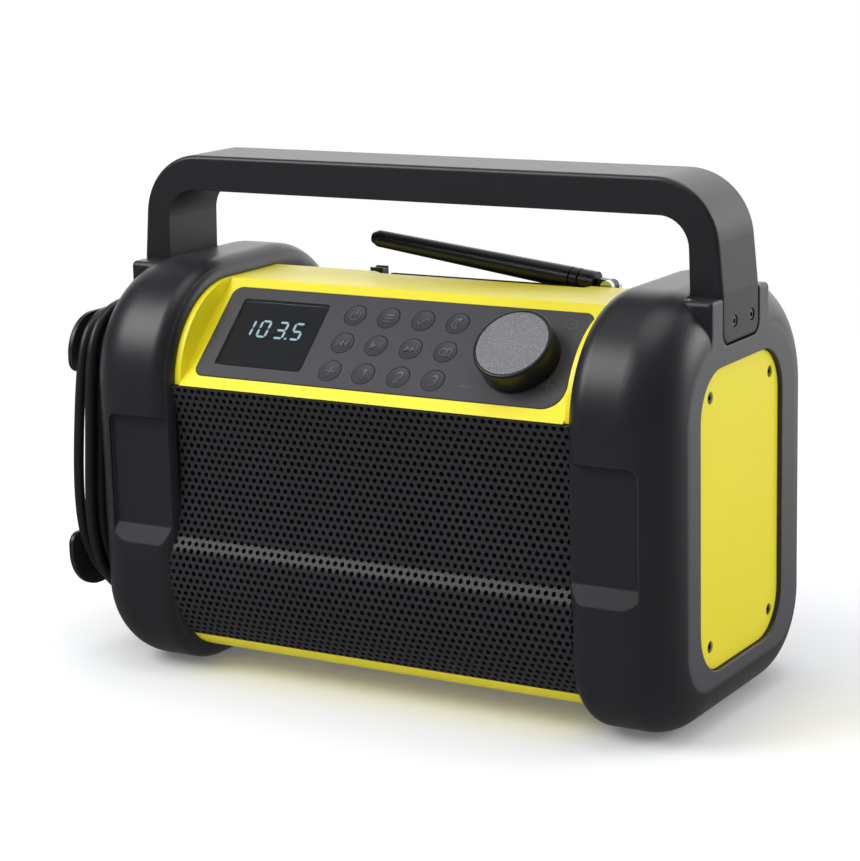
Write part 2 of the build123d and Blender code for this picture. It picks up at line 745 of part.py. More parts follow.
def make_antenna_whip():
    """The whip: a flat tongue on the pin, a grooved root and a tapered rod, raised a little."""
    x, y, z = antenna_pivot
    turn = math.radians(antenna_rise)

    def along(distance):
        return (x - distance * math.cos(turn), y, z + distance * math.sin(turn))

    tongue = rod((x, y - 2.0, z), (x, y + 2.0, z), 2.9)
    tongue += Plane(origin=(x, y, z), x_dir=(-math.cos(turn), 0, math.sin(turn)), z_dir=(0, 1, 0)) \
        * block(0, 8, -2.6, 2.6, -2.0, 2.0)
    tongue -= rod((x, y - 6, z), (x, y + 6, z), 1.25)
    root = rod(along(7), along(14), whip_base_radius)
    rings = rod(along(14), along(15.4), whip_base_radius - 0.7)
    rings += rod(along(15.4), along(18.6), whip_base_radius)
    rings += rod(along(18.6), along(20), whip_base_radius - 0.7)
    whip = cone_rod(along(20), along(whip_length - 3), whip_base_radius, whip_tip_radius)
    tip = cone_rod(along(whip_length - 3), along(whip_length), whip_tip_radius, whip_tip_radius - 1.4)
    return tongue + root + rings + whip + tip


def clip_feet(gap):
    """The clip's two pegs in the shelf, made larger by gap."""
    feet = None
    for x in clip_x:
        peg = block(x - 1.2 - gap, x + 1.2 + gap, 22 - gap, 26 + gap, shelf_z - 3, shelf_z + 0.2)
        feet = peg if feet is None else feet + peg
    return feet


def make_antenna_clip():
    """The hollowed block that the whip lies on when it is pressed down."""
    x0, x1 = clip_x
    y = antenna_pivot[1]
    body = block(x0 - 1.4, x1 + 1.4, y - clip_half_depth, y + clip_half_depth, shelf_z, clip_top_z)
    body = fillet(body.edges().filter_by(Axis.Z), 1.0)
    notch_z, notch_radius = clip_notch
    body -= rod((x0 - 5, y, notch_z), (x1 + 5, y, notch_z), notch_radius)
    return body + clip_feet(0)


# ---- boards and batteries

def make_battery_tray():
    """The open tray behind the door."""
    back = guard_half_depth - case_inset - 6.2
    tray = block(-98.6, 98.6, 22.4, back, 38.4, 111.6)
    tray -= block(-96.6, 96.6, 24.4, back + 1, 40.4, 109.6)
    return tray


def make_battery_cells():
    """Six round cells in two rows of three."""
    cells = []
    radius, length = 16.8, 61.0
    for z in (57.4, 92.6):
        for column in (-1, 0, 1):
            x = 62.5 * column
            y = 42.0
            can = rod((x - length / 2, y, z), (x + length / 2 - 1.5, y, z), radius)
            tip = rod((x + length / 2 - 1.5, y, z), (x + length / 2, y, z), 4.5)
            cells.append(can + tip)
    return cells


def make_main_board():
    """The receiver and amplifier board, upright behind the speakers."""
    board = block(-70, 40, 5.5, 7.1, 40, 120)
    parts = (
        (-60, 60, 22, 22, 3), (-25, 80, 16, 16, 2.4), (10, 52, 12, 28, 9),
        (-58, 100, 10, 10, 12), (-44, 100, 10, 10, 12), (5, 96, 18, 12, 6),
    )
    for x, z, wide, high, deep in parts:
        board += block(x, x + wide, 7.1, 7.1 + deep, z, z + high)
    return board


def make_power_board():
    """The mains power supply, at the left end."""
    board = block(-125, -78, 5.5, 7.1, 40, 118)
    parts = ((-118, 60, 26, 24, 20), (-120, 92, 14, 16, 12), (-98, 94, 12, 12, 14), (-100, 48, 8, 8, 12))
    for x, z, wide, high, deep in parts:
        board += block(x, x + wide, 5.5 - deep, 5.5, z, z + high)
    return board


# ---- cord hooks and mains lead

def hook_outline(size, big_corner_up, big, small):
    """A hook's outline: two large corners on the side away from the other hook."""
    half, low, high = size
    middle = (low + high) / 2
    shape = Pos(0, middle) * Rectangle(2 * half, high - low)
    shape = round_corners(shape, big, lambda v: (v.Y > middle) == big_corner_up)
    edge = low if big_corner_up else high
    return round_corners(shape, small, lambda v: abs(v.Y - edge) < 0.1 and abs(v.X) > half - 1)


def make_hook(post, flange, up):
    """A post on the left end panel with a flange that keeps the cord on."""
    half, low, high = post
    body = along_x(hook_outline(post, up, 12, 4), -hook_flange_x - 0.2, -end_x - 0.3)
    plate = along_x(hook_outline(flange, up, 19, 6), -hook_end_x, -hook_flange_x)
    plate = fillet(plate.faces().sort_by(Axis.X)[0].edges(), 1.2)
    foot_low, foot_high = max(low, 40), min(high, 150)
    foot = block(-end_x - 0.4, -end_panel_face_x, -24, 24, foot_low, foot_high)
    return body + plate + foot


def winding_outline(inset):
    """The winding's outline: over both hooks, bulging loosely between them."""
    half = [
        (0, 163.2), (-40, 163.2), (-53.5, 153.5), (-63.2, 97.0), (-63.4, 70.0), (-54.5, 44.0),
        (-42, 34.4), (0, 34.4),
    ]
    points = half + [(-y, z) for y, z in reversed(half[1:-1])]
    shape = make_face(Polyline(*points, close=True))
    sharp = [v for v in shape.vertices() if abs(v.X) > 30]
    shape = fillet(sharp, 9)
    return offset(shape, amount=-inset, kind=Kind.ARC)


def make_winding():
    """The wound cord as one closed solid of its outer shape."""
    ring = winding_outline(-6.6) - winding_outline(2.2)
    return along_x(ring, *winding_x)


def cord_tube(points):
    """A round tube along straight runs joined by arcs as large as the runs allow."""
    radii = []
    for before, here, after in zip(points, points[1:], points[2:]):
        first = Vector(*here) - Vector(*before)
        second = Vector(*after) - Vector(*here)
        turn = math.radians(first.get_angle(second))
        radii.append(0.45 * min(first.length, second.length) / math.tan(turn / 2))
    print("cord radii", [round(r, 1) for r in radii])
    path = FilletPolyline(*points, radius=radii)
    start = Plane(origin=path @ 0, z_dir=path % 0)
    tube = sweep(start * Circle(cord_diameter / 2), path=path)
    print("cord volume ratio", tube.volume / (math.pi * cord_diameter ** 2 / 4 * path.length))
    return tube


lead_points = [
    (gland_x, 33.0, gland_z), (gland_x, 40.5, gland_z + 0.4), (gland_x, 48.0, gland_z + 3.4),
    (gland_x, 53.2, gland_z + 9.2), (gland_x, 55.0, gland_z + 15.5),
]
tail_points = [
    (plug_x, 56.6, 46.0), (plug_x, 55.6, 52.4), (plug_x, 51.9, 57.6), (plug_x, 47.0, 61.8),
    (plug_x, 43.7, 66.6), (plug_x, plug_y, plug_low_z),
]


def make_gland():
    """An elbow strain relief: a round foot on the end panel and a ribbed taper along it."""
    foot_x = -end_panel_face_x
    foot = rod((foot_x, 4, gland_z), (gland_x - 4.6, 4, gland_z), 7)
    foot = fillet(foot.edges().sort_by(Axis.X)[0:1], 2)
    taper = cone_rod((gland_x, 6, gland_z), (gland_x, 33, gland_z), 4.6, 3.2)
    for step in range(5):
        y = 15 + 3.2 * step
        ring = rod((gland_x, y, gland_z), (gland_x, y + 1.2, gland_z), 5)
        taper -= ring - rod((gland_x, y - 1, gland_z), (gland_x, y + 2, gland_z), 3.0)
    return foot + taper


def make_plug():
    """A flat two-pin mains plug, its lead entering from below."""
    body_low, body_high = plug_low_z + 11, plug_low_z + 44
    body = block(plug_x - 6.5, plug_x + 6.5, plug_y - 12.5, plug_y + 12.5, body_low, body_high)
    body = fillet(body.edges().filter_by(Axis.Z), 5)
    body = fillet(body.faces().sort_by(Axis.Z)[-1].edges(), 1.5)
    body = chamfer(body.faces().sort_by(Axis.Z)[0].edges(), 2.5)
    relief = cone_rod((plug_x, plug_y, plug_low_z), (plug_x, plug_y, body_low + 2), 3.3, 5.0)
    for side in (-1, 1):
        y = plug_y + 9.5 * side
        pin = rod((plug_x, y, body_high - 2), (plug_x, y, body_high + 18), 2.0)
        body += fillet(pin.edges().sort_by(Axis.Z)[-1:], 1.2)
    return body + relief


def make_tie():
    """A strap round the rear strands and the plug."""
    low, high = 84.0, 97.0
    outer = block(-171.1, -150.65, 28.6, 72.2, low, high)
    outer = fillet(outer.edges().filter_by(Axis.Z), 3)
    inner = block(-169.9, -151.75, 29.8, 71.0, low - 1, high + 1)
    return outer - fillet(inner.edges().filter_by(Axis.Z), 0.8)


# ---- everything together

pieces = {}

right_guard, left_guard = ends(make_guard())
pieces["right_guard"] = right_guard
pieces["left_guard"] = left_guard
right_panel, left_panel = ends(make_end_panel())
pieces["right_end_panel"] = right_panel
pieces["left_end_panel"] = left_panel
pieces["end_panel_screws"] = [
    one for place in end_screw_places for one in ends(screw(place, end_screw_length))
]
pieces["guard_screws"] = [
    one for place in guard_screw_places
    for one in ends(screw(place, guard_screw_length, 3.2, guard_head_height, 1.7))
]

handle_frame = make_handle_frame()
handle_cover = handle_cover_shape()
handle_frame -= handle_cover
handle_screws = []
for place in handle_screw_places:
    handle_screws.extend(ends(screw(place, handle_screw_length)))
    for hole in ends(screw_hole(place, handle_screw_length)):
        handle_frame -= hole
        handle_cover -= hole
pieces["handle_frame"] = handle_frame
pieces["handle_cover"] = handle_cover
pieces["handle_screws"] = handle_screws

pieces["front_housing"] = make_front_housing()
pieces["rear_cover"] = make_rear_cover()
pieces["housing_seal"] = make_seal()
pieces["housing_screws"] = [
    screw(Plane(origin=(x, rear_screw_y(z), z), x_dir=(1, 0, 0), z_dir=(0, 1, 0)),
          rear_screw_length(z), 3.0, 2.2, 1.75)
    for x, z in housing_boss_places()
]
pieces["battery_door"] = make_battery_door()
pieces["door_screws"] = [screw(door_screw_place(x), 3, 2.6, 1.6, 1.45) for x in door_screw_x]
pieces["battery_tray"] = make_battery_tray()
pieces["battery_cells"] = make_battery_cells()
pieces["main_board"] = make_main_board()
pieces["power_supply_board"] = make_power_board()

pieces["speaker_grille"] = make_grille()
for side, x in (("left", -speaker_x), ("right", speaker_x)):
    frame, cone, magnet = speaker_pieces(x)
    pieces[side + "_speaker_frame"] = frame
    pieces[side + "_speaker_cone"] = cone
    pieces[side + "_speaker_magnet"] = magnet
pieces["speaker_screws"] = [
    screw(place, 5, 2.4, 1.4, 1.35)
    for x in (-speaker_x, speaker_x) for place in speaker_screw_places(x)
]

pieces["control_panel"] = make_panel()
pieces["display_window"] = make_display_window()
pieces["display_module"] = make_display_module()
for name, x, s in key_places():
    pieces[name] = make_key(x, s)
pieces["keypad_mat"] = make_keypad_mat()
pieces["control_board"] = make_control_board()
pieces["encoder_body"] = make_encoder_body()
pieces["encoder_shaft"] = make_encoder_shaft()
pieces["volume_knob"] = make_knob()
pieces["knob_face"] = make_knob_face()

pieces["antenna_base"] = make_antenna_base()
pieces["antenna_knuckle"] = make_antenna_knuckle()
pieces["antenna_whip"] = make_antenna_whip()
pieces["antenna_clip"] = make_antenna_clip()

pieces["upper_cord_hook"] = make_hook(upper_post, upper_flange, True)
pieces["lower_cord_hook"] = make_hook(lower_post, lower_flange, False)
cord_lead = cord_tube(lead_points)
cord_tail = cord_tube(tail_points)
pieces["cord_lead"] = cord_lead
pieces["cord_tail"] = cord_tail
pieces["cord_gland"] = make_gland() - cord_lead
pieces["cord_winding"] = make_winding() - cord_lead - cord_tail
pieces["mains_plug"] = make_plug() - cord_tail
pieces["cord_tie"] = make_tie()

os.makedirs("parts", exist_ok=True)
for name, shape in pieces.items():
    solids = shape if isinstance(shape, list) else [shape]
    solids = [solid for item in solids for solid in item.solids()]
    moved = [solid.moved(Location((shift_x, 0, 0))) for solid in solids]
    export_step(Compound(moved) if len(moved) > 1 else moved[0], "parts/" + name + ".step")
print(len(pieces), "pieces")
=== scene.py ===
import json
import math
import bpy
import numpy as np
from mathutils import Matrix, Vector


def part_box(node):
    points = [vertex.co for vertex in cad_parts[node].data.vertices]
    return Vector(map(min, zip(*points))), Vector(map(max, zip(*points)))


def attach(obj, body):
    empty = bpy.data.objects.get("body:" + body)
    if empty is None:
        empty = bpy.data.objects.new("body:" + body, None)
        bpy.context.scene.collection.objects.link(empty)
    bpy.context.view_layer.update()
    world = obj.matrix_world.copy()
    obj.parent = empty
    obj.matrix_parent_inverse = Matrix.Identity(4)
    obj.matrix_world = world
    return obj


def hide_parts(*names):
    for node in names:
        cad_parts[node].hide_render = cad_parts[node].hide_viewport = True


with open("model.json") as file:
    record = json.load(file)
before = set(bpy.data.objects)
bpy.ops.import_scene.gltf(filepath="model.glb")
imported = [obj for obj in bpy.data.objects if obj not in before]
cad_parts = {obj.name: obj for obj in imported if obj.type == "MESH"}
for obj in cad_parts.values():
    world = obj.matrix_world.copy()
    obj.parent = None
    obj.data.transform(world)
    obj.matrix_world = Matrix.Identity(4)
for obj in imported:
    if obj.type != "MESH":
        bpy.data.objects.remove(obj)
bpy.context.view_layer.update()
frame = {"nodes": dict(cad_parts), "record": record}
nodes = frame["nodes"]
mm = 0.001
caseLow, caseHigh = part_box("front_housing")
middleX = (caseLow.x + caseHigh.x) / 2 / mm  # the case's middle, where the radio's own X is 0
print("frame loaded:", len(nodes), "nodes, case middle at X", round(middleX, 2), "mm")


# ---- small helpers: places, colours, nodes, meshes

def toRow(points):
    # radio millimetres to metres in the shared frame: moved along X by the case's middle
    return (np.asarray(points, float) + (middleX, 0, 0)) * mm


def linear(hexCode):
    # sRGB to linear: c / 12.92 when small, else ((c + 0.055) / 1.055) to the power 2.4
    parts = [int(hexCode[i:i + 2], 16) / 255 for i in (0, 2, 4)]
    return [c / 12.92 if c <= 0.04045 else ((c + 0.055) / 1.055) ** 2.4 for c in parts] + [1.0]


def addNode(tree, kind, settings=None, links=None):
    # one node: settings by attribute, socket name or socket number, then its links
    node = tree.nodes.new(kind)
    for key, value in (settings or {}).items():
        if isinstance(key, str) and hasattr(node, key):
            setattr(node, key, value)
        else:
            node.inputs[key].default_value = value
    for key, source in (links or {}).items():
        tree.links.new(source, node.inputs[key])
    return node


def newMaterial(name):
    material = bpy.data.materials.new(name)
    material.use_nodes = True
    material.node_tree.nodes.clear()
    return material, material.node_tree


def addPiece(name, points, faces, material, body, smooth=False):
    # points are radio millimetres; the piece rides on a body and takes a slot's finish
    mesh = bpy.data.meshes.new(name)
    mesh.from_pydata(toRow(points).tolist(), [], [list(face) for face in faces])
    mesh.polygons.foreach_set("use_smooth", np.full(len(mesh.polygons), smooth))
    mesh.materials.append(material)
    piece = bpy.data.objects.new(name, mesh)
    bpy.context.scene.collection.objects.link(piece)
    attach(piece, body)
    return piece


# ---- camera, studio and floor

cameraSet = {
    "azimuth": 30.98, "elevation": 12.65, "roll": -1.42,  # degrees
    "target": (5.51, -4.0, 113.49), "distance": 1168.22,  # millimetres in the shared frame
    "lens": 105.67, "sensor": 36.0,
}
studio = {
    "ambient": 0.22, "skyShare": 0.85,  # what the world gives to diffuse surfaces: level, and more from above
    "frontGloss": 0.02,     # what glossy surfaces see on the camera's side of the room
    "backdropFrom": 0.35, "backdropTo": 0.75,  # Y of the directions where the white backdrop begins
    "backdropGloss": 1.65,  # how bright glossy surfaces see it
    "floorColour": "F4F4F4", "floorGlow": 0.12, "floorSize": 60.0,
    "floorGloss": (0.12, 0.9), "floorGlossY": (-0.10, 0.90),  # the floor in reflections, front and rear
    "floorFade": (0.30, 1.10),  # metres from the middle over which the floor turns pure white
    # name: place, aimed at, size in metres, watts
    "lamps": {
        "overheadSoftbox": ((0.10, 0.10, 1.90), (0.0, 0.0, 0.12), 1.4, 8.0),
        "frontLeftSoftbox": ((-1.00, -1.02, 1.38), (0.0, 0.0, 0.10), 1.2, 22.0),
        "backRightSoftbox": ((1.35, 1.00, 0.75), (0.1, 0.0, 0.10), 0.8, 7.0),
    },
}


def makeCamera(c):
    # back, right and up from azimuth and elevation, then right and up turned by the roll
    a, e, r = (math.radians(c[key]) for key in ("azimuth", "elevation", "roll"))
    back = Vector((math.sin(a) * math.cos(e), -math.cos(a) * math.cos(e), math.sin(e)))
    level = Vector((math.cos(a), math.sin(a), 0))
    up = back.cross(level)
    right = math.cos(r) * level + math.sin(r) * up
    top = math.cos(r) * up - math.sin(r) * level
    data = bpy.data.cameras.new("camera")
    data.lens, data.sensor_width = c["lens"], c["sensor"]
    data.clip_start, data.clip_end = 0.05, 100
    camera = bpy.data.objects.new("camera", data)
    place = Vector(c["target"]) * mm + back * c["distance"] * mm
    camera.matrix_world = Matrix.Translation(place) @ Matrix((right, top, back)).transposed().to_4x4()
    bpy.context.scene.collection.objects.link(camera)
    bpy.context.scene.camera = camera


def makeWorld(s):
    # camera rays see white; glossy rays see a white backdrop behind and a dim room in front
    world = bpy.data.worlds.new("whiteStudio")
    world.use_nodes = True
    tree = world.node_tree
    tree.nodes.clear()
    rays = addNode(tree, "ShaderNodeLightPath").outputs
    seen = addNode(tree, "ShaderNodeMath", {"operation": "MAXIMUM"},
                   {0: rays["Is Camera Ray"], 1: rays["Is Transmission Ray"]}).outputs[0]
    direction = addNode(tree, "ShaderNodeTexCoord").outputs["Generated"]
    axes = addNode(tree, "ShaderNodeSeparateXYZ", links={0: direction}).outputs
    backdrop = addNode(tree, "ShaderNodeMapRange", {"From Min": s["backdropFrom"], "From Max": s["backdropTo"],
                       "To Min": s["frontGloss"], "To Max": s["backdropGloss"]}, {"Value": axes["Y"]}).outputs[0]
    fromAbove = addNode(tree, "ShaderNodeMapRange", {"From Min": 0.0, "From Max": 1.0, "To Min": s["ambient"],
                        "To Max": s["ambient"] + s["skyShare"]}, {"Value": axes["Z"]}).outputs[0]
    ambient = addNode(tree, "ShaderNodeBackground", {"Color": linear("F6F8FB")}, {"Strength": fromAbove})
    glossy = addNode(tree, "ShaderNodeBackground", {"Color": linear("FFFFFF")}, {"Strength": backdrop})
    white = addNode(tree, "ShaderNodeBackground", {"Color": linear("FFFFFF"), "Strength": 1.0})
    soft = addNode(tree, "ShaderNodeMixShader", links={
        0: rays["Is Glossy Ray"], 1: ambient.outputs[0], 2: glossy.outputs[0]})
    both = addNode(tree, "ShaderNodeMixShader", links={0: seen, 1: soft.outputs[0], 2: white.outputs[0]})
    addNode(tree, "ShaderNodeOutputWorld", links={"Surface": both.outputs[0]})
    bpy.context.scene.world = world


def makeFloor(s):
    # plain pale paper: part of its white is a glow that only camera and glass rays see, and
    # reflections find it dim in front of the radio and white behind it
    material, tree = newMaterial("palePaper")
    rays = addNode(tree, "ShaderNodeLightPath").outputs
    seen = addNode(tree, "ShaderNodeMath", {"operation": "MAXIMUM"},
                   {0: rays["Is Camera Ray"], 1: rays["Is Transmission Ray"]}).outputs[0]
    where = addNode(tree, "ShaderNodeTexCoord").outputs["Object"]
    away = addNode(tree, "ShaderNodeVectorMath", {"operation": "LENGTH"}, {0: where}).outputs["Value"]
    near, far = s["floorFade"]
    glowing = addNode(tree, "ShaderNodeMapRange", {"interpolation_type": "SMOOTHSTEP", "From Min": near,
                      "From Max": far, "To Min": s["floorGlow"], "To Max": 1.0}, {"Value": away}).outputs[0]
    share = addNode(tree, "ShaderNodeMath", {"operation": "MULTIPLY"}, {0: seen, 1: glowing}).outputs[0]
    paper = addNode(tree, "ShaderNodeBsdfDiffuse", {"Color": linear(s["floorColour"])})
    glow = addNode(tree, "ShaderNodeEmission", {"Color": linear("FFFFFF"), "Strength": 1.0})
    mix = addNode(tree, "ShaderNodeMixShader", links={0: share, 1: paper.outputs[0], 2: glow.outputs[0]})
    axes = addNode(tree, "ShaderNodeSeparateXYZ", links={0: where}).outputs
    (front, rear), (frontY, rearY) = s["floorGloss"], s["floorGlossY"]
    mirrored = addNode(tree, "ShaderNodeMapRange", {"From Min": frontY, "From Max": rearY, "To Min": front,
                       "To Max": rear}, {"Value": axes["Y"]}).outputs[0]
    dim = addNode(tree, "ShaderNodeEmission", {"Color": linear("FFFFFF")}, {"Strength": mirrored})
    surface = addNode(tree, "ShaderNodeMixShader", links={
        0: rays["Is Glossy Ray"], 1: mix.outputs[0], 2: dim.outputs[0]})
    addNode(tree, "ShaderNodeOutputMaterial", links={"Surface": surface.outputs[0]})
    half = s["floorSize"] / 2
    mesh = bpy.data.meshes.new("floor")
    mesh.from_pydata([(-half, -half, 0), (half, -half, 0), (half, half, 0), (-half, half, 0)], [], [(0, 1, 2, 3)])
    mesh.materials.append(material)
    floor = bpy.data.objects.new("floor", mesh)
    bpy.context.scene.collection.objects.link(floor)


def makeLamps(s):
    for name, (place, aim, size, watts) in s["lamps"].items():
        data = bpy.data.lights.new(name, "AREA")
        data.shape, data.size, data.energy = "DISK", size, watts
        lamp = bpy.data.objects.new(name, data)
        lamp.location = place
        lamp.rotation_mode = "QUATERNION"
        lamp.rotation_quaternion = (Vector(aim) - Vector(place)).to_track_quat("-Z", "Y")
        bpy.context.scene.collection.objects.link(lamp)


makeCamera(cameraSet)
makeWorld(studio)
makeFloor(studio)
makeLamps(studio)
bpy.context.scene.view_settings.view_transform = "Standard"
print("camera, world, floor and lamps made")


# ---- materials

def mouldedPlastic(name, look):
    # slow colour drift and fine grain on Object coordinates, edges rounded and made lighter, partly as wear and
    # partly as a painted highlight colour = mix(dark, light, drift), then towards speckWearAndHighlight where the
    # rounded normal leaves the face's
    material, tree = newMaterial(name)
    where = addNode(tree, "ShaderNodeTexCoord").outputs["Object"]
    drift = addNode(tree, "ShaderNodeTexNoise", {"Scale": 1000 / look["driftMm"], "Detail": 3.0},
                    {"Vector": where}).outputs["Fac"]
    grain = addNode(tree, "ShaderNodeTexNoise", {"Scale": 1000 / look["grainMm"], "Detail": 2.0, "Roughness": 0.6},
                    {"Vector": where}).outputs["Fac"]
    colour = addNode(tree, "ShaderNodeMix", {
        "data_type": "RGBA", 6: linear(look["dark"]), 7: linear(look["light"])}, {0: drift}).outputs[2]
    if look.get("speckle"):  # pale specks where the grain is highest
        specks = addNode(tree, "ShaderNodeMapRange", {
            "From Min": 0.56, "From Max": 0.74, "To Max": look["speckle"]}, {"Value": grain}).outputs[0]
        colour = addNode(tree, "ShaderNodeMix", {"data_type": "RGBA", 7: linear(look["speckWearAndHighlight"])},
                         {0: specks, 6: colour}).outputs[2]
    normal = None
    # edges made lighter: wear, and on the guards and raised signs a painted highlight where edges catch the light
    if look.get("edgeMm"):
        rounded = addNode(tree, "ShaderNodeBevel", {"samples": 4, "Radius": look["edgeMm"] * mm})
        flat = addNode(tree, "ShaderNodeNewGeometry").outputs["Normal"]
        lined = addNode(tree, "ShaderNodeVectorMath", {"operation": "DOT_PRODUCT"},
                        {0: rounded.outputs[0], 1: flat}).outputs["Value"]
        edgeWearAndHighlight = addNode(tree, "ShaderNodeMapRange", {"From Min": 0.99, "From Max": 0.75, "To Max": look["edgeWearAndHighlight"]},
                      {"Value": lined}).outputs[0]
        colour = addNode(tree, "ShaderNodeMix", {"data_type": "RGBA", 7: linear(look["speckWearAndHighlight"])},
                         {0: edgeWearAndHighlight, 6: colour}).outputs[2]
        normal = rounded.outputs[0]
    rough = addNode(tree, "ShaderNodeMapRange", {"From Min": 0.3, "From Max": 0.7,
                    "To Min": look["rough"] - 0.04, "To Max": look["rough"] + 0.05}, {"Value": grain}).outputs[0]
    bumpLinks = {"Height": grain}
    if normal:
        bumpLinks["Normal"] = normal
    bump = addNode(tree, "ShaderNodeBump", {"Strength": 1.0, "Distance": look["grainDepthMm"] * mm}, bumpLinks)
    shader = addNode(tree, "ShaderNodeBsdfPrincipled", {
        "IOR": look["ior"], "Metallic": look.get("metallic", 0.0), "Specular IOR Level": look.get("specular", 0.5),
        "Coat Weight": look.get("coat", 0.0), "Coat Roughness": 0.08},
        {"Base Color": colour, "Roughness": rough, "Normal": bump.outputs[0]})
    addNode(tree, "ShaderNodeOutputMaterial", links={"Surface": shader.outputs[0]})
    return material


